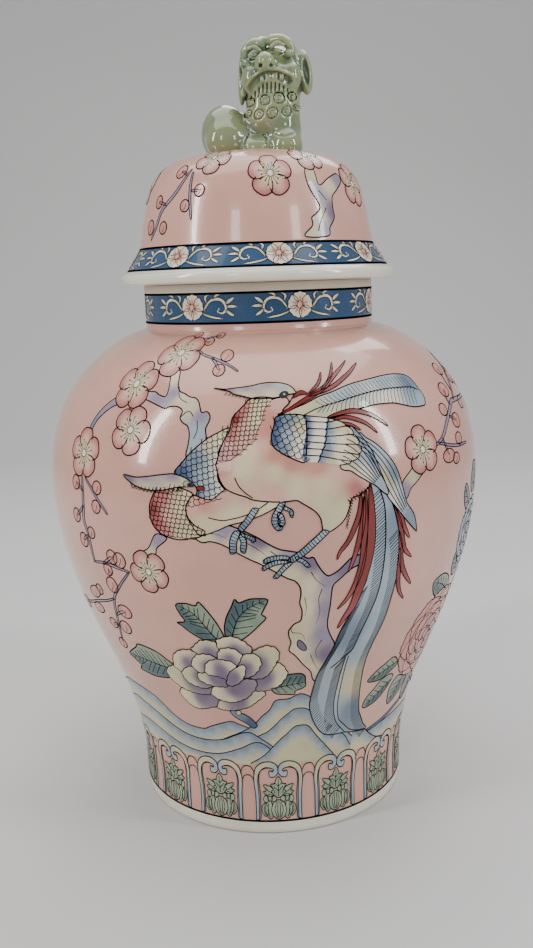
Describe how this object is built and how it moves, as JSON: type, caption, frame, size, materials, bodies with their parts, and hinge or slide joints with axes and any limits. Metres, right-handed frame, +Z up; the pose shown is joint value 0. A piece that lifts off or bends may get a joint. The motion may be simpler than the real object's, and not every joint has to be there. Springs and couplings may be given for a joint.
{
  "type": "ginger jar",
  "caption": "Tall covered porcelain ginger jar with high shoulders, short neck and a domed lift-off lid that carries a seated guardian lion.",
  "frame": {"origin": "middle of the foot's underside, on the surface the jar stands on", "axes": "+Z up along the jar's axis; the painted front faces -Y; +X to the right seen from the front"},
  "size_m": [0.248, 0.248, 0.435],
  "materials": {
    "pink_glaze": "glossy glaze over a soft pink ground",
    "blue_enamel": "glossy deep blue band",
    "painted_enamel": "glossy painted enamel colours",
    "ink_line": "glossy fired outline",
    "cream_glaze": "glossy clear glaze over white clay",
    "bare_biscuit": "matt unglazed clay",
    "celadon_glaze": "glossy grey-green glaze, darker where it pools"
  },
  "bodies": {
    "jar": {"jar_body": "pink_glaze", "jar_neck": "blue_enamel"},
    "lid": {"lid_cap": "pink_glaze", "lid_locating_ring": "bare_biscuit", "lion_body": "celadon_glaze", "lion_head": "celadon_glaze"}
  },
  "joints": [
    {"name": "lid_lift", "type": "slide", "parent": "jar", "child": "lid", "axis": [0, 0, 1], "range_m": [0, 0.06]}
  ]
}
